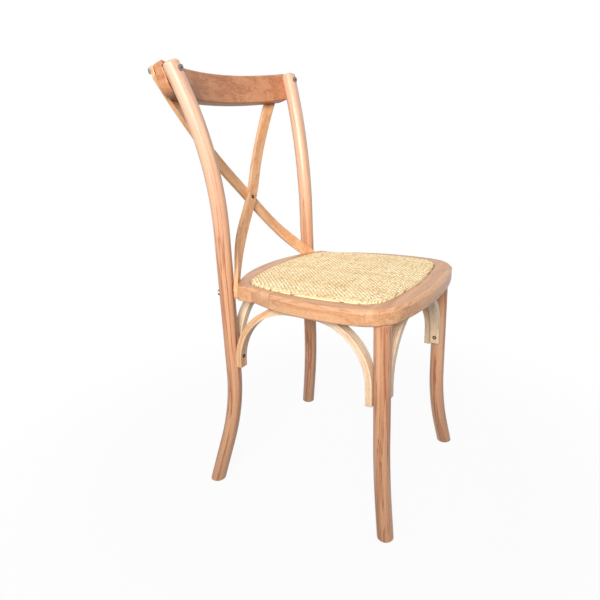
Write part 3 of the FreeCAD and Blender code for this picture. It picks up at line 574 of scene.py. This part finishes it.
def trimStrands(strand, turn, origin):
    # cuts the strands at the edge of the seat and lays them over its crown
    pitch = cane["pitch"]
    axis = 1 if turn else 0
    makeActive(strand)
    bpy.ops.object.mode_set(mode="EDIT")

    def centreLine(place):
        x, y = place.x, place.y
        if turn:
            x = origin.x + round((x - origin.x) / pitch) * pitch
        else:
            y = origin.y + round((y - origin.y) / pitch) * pitch
        return x, y

    selectWhere(strand, "verts", lambda vert: edgeDistance(*centreLine(vert.co)) < cane["strandEnd"])
    bpy.ops.mesh.delete(type="VERT")
    # every cut end then runs on to the rim
    mesh = bmesh.from_edit_mesh(strand.data)
    for vert in mesh.verts:
        if not vert.is_boundary:
            continue
        neighbours = [edge.other_vert(vert) for edge in vert.link_edges]
        inner = max(neighbours, key=lambda item: abs(item.co[axis] - vert.co[axis]))
        way = 1 if vert.co[axis] > inner.co[axis] else -1
        for _ in range(cane["endPasses"]):
            vert.co[axis] += way * (edgeDistance(*centreLine(vert.co)) - cane["strandEnd"])
    bmesh.update_edit_mesh(strand.data)
    bpy.ops.mesh.select_all(action="SELECT")
    bpy.ops.mesh.fill_holes(sides=8)
    bpy.ops.mesh.select_all(action="SELECT")
    bpy.ops.mesh.normals_make_consistent(inside=False)
    bpy.ops.object.mode_set(mode="OBJECT")
    for vert in strand.data.vertices:
        vert.co.z += seatTop(max(edgeDistance(vert.co.x, vert.co.y), 0.0))
    bpy.ops.object.shade_smooth()


def makeSeatPad():
    # the pad under the cane, a loop stepped inward over its rounded edge and then up its crown
    corners = [point - side * cane["gap"] for point, side in edgeSamples[::cane["padSpacing"]]]
    mesh = bpy.data.meshes.new("seatPad")
    mesh.from_pydata([(corner.x, corner.y, cane["padBottom"]) for corner in corners], [],
                     [range(len(corners))])
    pad = bpy.data.objects.new("seatPad", mesh)
    bpy.context.scene.collection.objects.link(pad)
    makeActive(pad)
    bpy.ops.object.mode_set(mode="EDIT")
    bpy.ops.mesh.select_mode(type="FACE")
    bpy.ops.mesh.select_all(action="SELECT")
    bpy.ops.mesh.extrude_region_move(TRANSFORM_OT_translate={"value": (0, 0, cane["padWall"])})
    for ring in cane["padRings"]:
        bpy.ops.mesh.inset(thickness=ring)
    for share in cane["padShares"]:
        bpy.ops.mesh.extrude_region_move()
        bpy.ops.transform.resize(value=(share, share, 1))
    bpy.ops.mesh.poke()
    mesh = bmesh.from_edit_mesh(pad.data)
    for vert in mesh.verts:
        if vert.co.z > cane["padBottom"] + cane["padWall"] / 2:
            distance = max(edgeDistance(vert.co.x, vert.co.y) - cane["gap"], 0.0)
            drop = cane["rimDrop"] if distance < cane["rimWidth"] else cane["padDrop"]
            vert.co.z = seatTop(distance) - drop
    bmesh.update_edit_mesh(pad.data)
    selectWhere(pad, "edges", lambda edge: edge.is_boundary)
    bpy.ops.mesh.edge_face_add()
    bpy.ops.mesh.select_all(action="SELECT")
    bpy.ops.mesh.normals_make_consistent(inside=False)
    bpy.ops.object.mode_set(mode="OBJECT")
    bpy.ops.object.shade_smooth_by_angle(angle=math.radians(cane["padSmooth"]))
    rim = pad.data.attributes.new("rim", "FLOAT", "POINT")
    rimEnd = cane["rimWidth"] + cane["gap"]
    for vert, value in zip(pad.data.vertices, rim.data):
        value.value = 1.0 if edgeDistance(vert.co.x, vert.co.y) < rimEnd else 0.0
    return pad


weave = {
    "streak": (0.0005, 0.03),
    "patch": (0.02, 0.03),
    "toneShare": 0.35,
    "streakShare": 0.4,
    "patchShare": 0.25,
    "tones": ((0.25, paint(222, 190, 138)), (0.5, paint(243, 219, 172)), (0.72, paint(251, 236, 202))),
    "knots": ((0.10, paint(206, 172, 122)), (0.22, paint(255, 255, 255))),
    "knotShare": 0.6,
    "fuzz": 0.0012,
    # the pad's brown between the strands is its own colour, darkened as painted shade in the gaps of the
    # weave
    "under": ((0.3, paint(178, 146, 94)), (0.7, paint(218, 188, 134))),
    "bound": ((0.3, paint(232, 206, 150)), (0.7, paint(250, 234, 192))),
}


def caneFinish(name, alongX):
    material, tree, shader = newFinish(name)
    x, y, _ = addNode(tree, "SeparateXYZ", {0: objectPlace(tree)}).outputs
    along, across = (x, y) if alongX else (y, x)
    strandNumber = maths(tree, "ROUND", maths(tree, "DIVIDE", across, cane["pitch"]))
    crossingNumber = maths(tree, "ROUND", maths(tree, "DIVIDE", along, cane["pitch"]))
    tone = addNode(tree, "TexWhiteNoise", {"W": strandNumber}, noise_dimensions="1D").outputs["Value"]
    place = addNode(tree, "CombineXYZ", {0: across, 1: strandNumber, 2: along}).outputs[0]
    streaks = grainNoise(tree, place, *weave["streak"], 2.0)
    patches = grainNoise(tree, place, *weave["patch"], 2.0)
    figure = maths(tree, "ADD", maths(tree, "MULTIPLY", tone, weave["toneShare"]),
                   maths(tree, "MULTIPLY", streaks, weave["streakShare"]))
    figure = maths(tree, "ADD", figure, maths(tree, "MULTIPLY", patches, weave["patchShare"]))
    colour = ramp(tree, figure, weave["tones"])
    # the skin of the cane is browner at some of the crossings
    crossing = addNode(tree, "CombineXYZ", {0: strandNumber, 1: crossingNumber}).outputs[0]
    knot = addNode(tree, "TexWhiteNoise", {"Vector": crossing}, noise_dimensions="2D").outputs["Value"]
    colour = mixColour(tree, weave["knotShare"], colour, ramp(tree, knot, weave["knots"]), "MULTIPLY")
    tree.links.new(colour, shader.inputs["Base Color"])
    tree.links.new(rescale(tree, streaks, 0.0, 1.0, 0.42, 0.62), shader.inputs["Roughness"])
    addRelief(tree, shader, streaks, 0.25, 0.0003)
    return material


def padFinish():
    material, tree, shader = newFinish("padCloth")
    fuzz = grainNoise(tree, objectPlace(tree), weave["fuzz"], weave["fuzz"], 3.0)
    rim = addNode(tree, "Attribute", attribute_name="rim").outputs["Fac"]
    # the pad's darker tone where it shows through the weave is partly painted shade in the gaps; the bound
    # rim is pale
    colour = mixColour(tree, rim, ramp(tree, fuzz, weave["under"]), ramp(tree, fuzz, weave["bound"]))
    tree.links.new(colour, shader.inputs["Base Color"])
    addRelief(tree, shader, fuzz, 0.3, 0.0004)
    shader.inputs["Roughness"].default_value = 0.85
    return material


seatPad = makeSeatPad()
giveFinish(seatPad, padFinish())
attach(seatPad, "root")
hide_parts("woven_seat_panel")
# the warp starts one strand further back, so that the two rise and fall in turn
for name, turn, shift in (("caneWeft", 0, 0), ("caneWarp", 90, cane["pitch"])):
    strands, origin = makeStrands(name, turn, Vector((0, shift, 0)))
    trimStrands(strands, turn, origin)
    giveFinish(strands, caneFinish(name + "Finish", turn == 0))
    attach(strands, "root")
    print(name, len(strands.data.polygons), "faces")


# Small wood screws, set on the wood where a ray meets it

screw = {
    "diameter": 0.0088,
    "sides": 24,
    "depth": 0.0016,
    "proud": 0.0004,
    "rim": 0.0006,
    "slot": 0.0013,
    "slotLength": 0.0048,
    "slotDepth": 0.0009,
}
below = 0.2  # rays that look up start at this height
up, forward, back, outwards = (0, 0, 1), (0, -1, 0), (0, 1, 0), (1, 0, 0)
frontLeg = {"x": 0.164, "y": -0.214}
rearLeg = {"x": 0.162, "y": 0.1316}
# each screw: its name, its node, where its ray starts and which way it looks
middleScrews = (
    ("boardFront", "seat_front_rail", (0, -0.2145, below), up),
    ("boardRear", "seat_rear_rail", (0, 0.107, below), up),
)
sideScrews = (
    ("sideFrontLeg", "side_front_brace", (frontLeg["x"], -0.10, 0.308), forward),
    ("sideFrontSeat", "side_front_brace", (frontLeg["x"], -0.0705, below), up),
    ("sideRearLeg", "side_rear_brace", (rearLeg["x"], 0.02, 0.304), back),
    ("sideRearSeat", "side_rear_brace", (rearLeg["x"], -0.033, below), up),
    ("frontLeg", "front_brace", (0, frontLeg["y"], 0.292), outwards),
    ("frontSeat", "front_brace", (0.0115, frontLeg["y"], below), up),
    ("rearLeg", "rear_brace", (0, rearLeg["y"], 0.312), outwards),
    ("rearSeat", "rear_brace", (0.0155, rearLeg["y"], below), up),
    ("boardFront", "seat_side_rail", (0.164, -0.158, below), up),
    ("boardRear", "seat_side_rail", (0.164, -0.018, below), up),
)


def makeScrewHead():
    deselectAll()
    bpy.ops.mesh.primitive_cylinder_add(vertices=screw["sides"], radius=screw["diameter"] / 2,
                                        depth=screw["depth"])
    head = bpy.context.object
    head.name = "screwHead"
    bpy.ops.object.mode_set(mode="EDIT")
    selectWhere(head, "faces", lambda face: face.normal.z > 0.9)
    bpy.ops.mesh.inset(thickness=screw["rim"])
    bpy.ops.transform.translate(value=(0, 0, screw["proud"] / 2))
    bpy.ops.object.mode_set(mode="OBJECT")
    for angle in (0, 90):
        bpy.ops.mesh.primitive_cube_add(size=1, location=(0, 0, screw["depth"] / 2),
                                        rotation=(0, 0, math.radians(angle)))
        slot = bpy.context.object
        slot.scale = (screw["slotLength"], screw["slot"], 2 * screw["slotDepth"])
        applyPlace(slot)
        applyModifier(head, "BOOLEAN", object=slot, operation="DIFFERENCE")
        bpy.data.objects.remove(slot)
    return head


def onWood(nodeName, start, way):
    # where a ray meets a node, and the way its surface looks there
    mesh = nodes[nodeName].data
    tree = BVHTree.FromPolygons([vert.co for vert in mesh.vertices],
                                [face.vertices for face in mesh.polygons])
    place, normal, _, _ = tree.ray_cast(Vector(start), Vector(way))
    return place, normal


screwPlaces = [("crossing", "cross_strip_front", (0, 0, 0.6147), back)]
for side, word in ((1, "left"), (-1, "right")):
    for name, nodeName, (x, y, z), (wayX, wayY, wayZ) in sideScrews:
        screwPlaces.append(("%s_%s" % (name, word), "%s_%s" % (nodeName, word),
                            (side * x, y, z), (side * wayX, wayY, wayZ)))
screwPlaces += middleScrews
screwHead = makeScrewHead()
screwCount = 0
for name, nodeName, start, way in screwPlaces:
    place, normal = onWood(nodeName, start, way)
    if place is None:
        print("no wood for screw", name)
        continue
    piece = copyPiece(screwHead, "screw_" + name)
    piece.rotation_euler = Vector(up).rotation_difference(normal).to_euler()
    piece.location = place + normal * (screw["proud"] - screw["depth"] / 2)
    applyPlace(piece)
    giveFinish(piece, screwSteel)
    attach(piece, "root")
    screwCount += 1
bpy.data.objects.remove(screwHead)
print("screws set:", screwCount)


# Stage: a white floor that keeps a soft shadow, one soft lamp and the photograph's camera

floorForm = {"size": 14, "drop": 0.0002, "dark": 0.15, "bright": 0.85, "fade": (0.45, 0.9, 0.92, 1.0)}
worldLight = {"thrown": 0.46, "seen": 1.0}
keyLamp = {"place": (-2.06, -0.74, 1.55), "aim": (0.05, 0.1, 0.74), "size": 1.2, "spread": 66, "power": 12.2}
view = {
    "place": (-0.93794, -0.53961, 0.75078),
    "way": (0.80137, 0.51017, -0.31230),
    "roll": -2.48,
    "lens": 30.86,
    "sensor": 36.0,
}


def floorFinish():
    material, tree, shader = newFinish("whiteFloor")
    shader.inputs["Roughness"].default_value = 0.9
    shader.inputs["Specular IOR Level"].default_value = 0.0
    glow = addNode(tree, "Emission", {"Color": grey(1.0), "Strength": 1.0})
    # seen as white, but it throws little light back up the legs
    seen = seenRays(tree)
    tone = rescale(tree, seen, 0.0, 1.0, floorForm["dark"], floorForm["bright"])
    tree.links.new(tone, shader.inputs["Base Color"])
    away = addNode(tree, "VectorMath", {0: objectPlace(tree)}, operation="LENGTH").outputs["Value"]
    share = maths(tree, "MULTIPLY", seen, rescale(tree, away, *floorForm["fade"]))
    mixed = addNode(tree, "MixShader", {0: share, 1: shader.outputs[0], 2: glow.outputs[0]})
    tree.links.new(mixed.outputs[0], tree.nodes["Material Output"].inputs["Surface"])
    return material


bpy.ops.mesh.primitive_plane_add(size=floorForm["size"], location=(0, 0, -floorForm["drop"]))
floor = bpy.context.object
floor.name = "floor"
applyPlace(floor)
giveFinish(floor, floorFinish())

world = bpy.data.worlds.new("studio")
bpy.context.scene.world = world
world.use_nodes = True
backdrop = world.node_tree.nodes["Background"]
seen = seenRays(world.node_tree)
level = rescale(world.node_tree, seen, 0.0, 1.0, worldLight["thrown"], worldLight["seen"])
world.node_tree.links.new(level, backdrop.inputs["Strength"])
backdrop.inputs["Color"].default_value = grey(1.0)

light = bpy.data.lights.new("keyLamp", "AREA")
light.shape = "DISK"
light.size = keyLamp["size"]
light.spread = math.radians(keyLamp["spread"])
light.energy = keyLamp["power"]
holder = bpy.data.objects.new("keyLamp", light)
holder.location = keyLamp["place"]
holder.rotation_euler = (Vector(keyLamp["aim"]) - holder.location).to_track_quat("-Z", "Y").to_euler()
bpy.context.scene.collection.objects.link(holder)

cameraData = bpy.data.cameras.new("photoCamera")
cameraData.lens = view["lens"]
cameraData.sensor_width = view["sensor"]
camera = bpy.data.objects.new("photoCamera", cameraData)
camera.location = view["place"]
aimed = Vector(view["way"]).to_track_quat("-Z", "Y") @ Quaternion((0, 0, 1), math.radians(view["roll"]))
camera.rotation_euler = aimed.to_euler()
bpy.context.scene.collection.objects.link(camera)
bpy.context.scene.camera = camera
bpy.context.scene.view_settings.view_transform = "Standard"
print("stage, lamp and camera ready")
